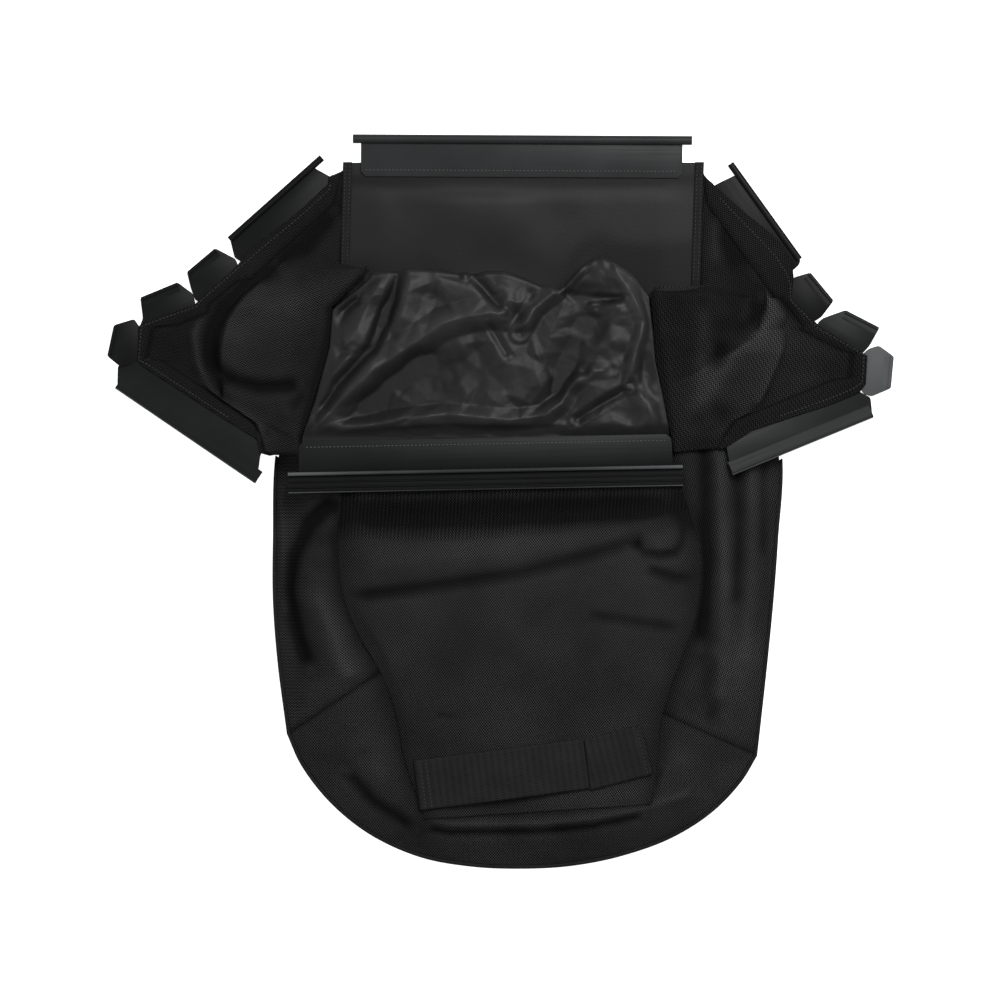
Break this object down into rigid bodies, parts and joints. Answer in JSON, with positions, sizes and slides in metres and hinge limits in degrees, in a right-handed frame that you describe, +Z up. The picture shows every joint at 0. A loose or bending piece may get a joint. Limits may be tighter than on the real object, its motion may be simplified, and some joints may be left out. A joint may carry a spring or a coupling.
{
  "type": "mower grass collection bag",
  "caption": "Empty mesh grass collection bag of a walk-behind mower, lying flat, with its mouth clips spread, a smooth deflector panel and a webbing handle.",
  "frame": {"origin": "on the floor, under the middle of the lying bag's box", "axes": "+Y from the closed end to the mouth, +X across the bag to the right as seen from above with the mouth away, +Z up from the floor"},
  "size_m": [0.7846, 0.734, 0.0662],
  "materials": {
    "mesh_cloth": "matte knitted mesh",
    "nylon_cloth": "semi-gloss woven nylon",
    "vinyl_cloth": "smooth semi-gloss coated sheet",
    "clip_plastic": "extruded plastic with a low sheen",
    "webbing": "ribbed woven webbing",
    "tape": "flat woven binding tape"
  },
  "bodies": {
    "root": {"front_panel": "mesh_cloth", "back_panel": "mesh_cloth", "left_side_wall": "mesh_cloth", "right_side_wall": "mesh_cloth", "end_band": "mesh_cloth", "apron": "nylon_cloth", "deflector_panel": "vinyl_cloth", "left_binding": "tape", "right_binding": "tape", "body_hem": "tape", "handle_strap": "webbing", "strap_end": "webbing", "top_clip": "clip_plastic", "bottom_clip": "clip_plastic", "left_upper_clip": "clip_plastic", "right_upper_clip": "clip_plastic", "left_lower_clip": "clip_plastic", "right_lower_clip": "clip_plastic", "left_corner_clip_1": "clip_plastic", "left_corner_clip_2": "clip_plastic", "left_corner_clip_3": "clip_plastic", "right_corner_clip_1": "clip_plastic", "right_corner_clip_2": "clip_plastic", "right_corner_clip_3": "clip_plastic"}
  },
  "joints": []
}
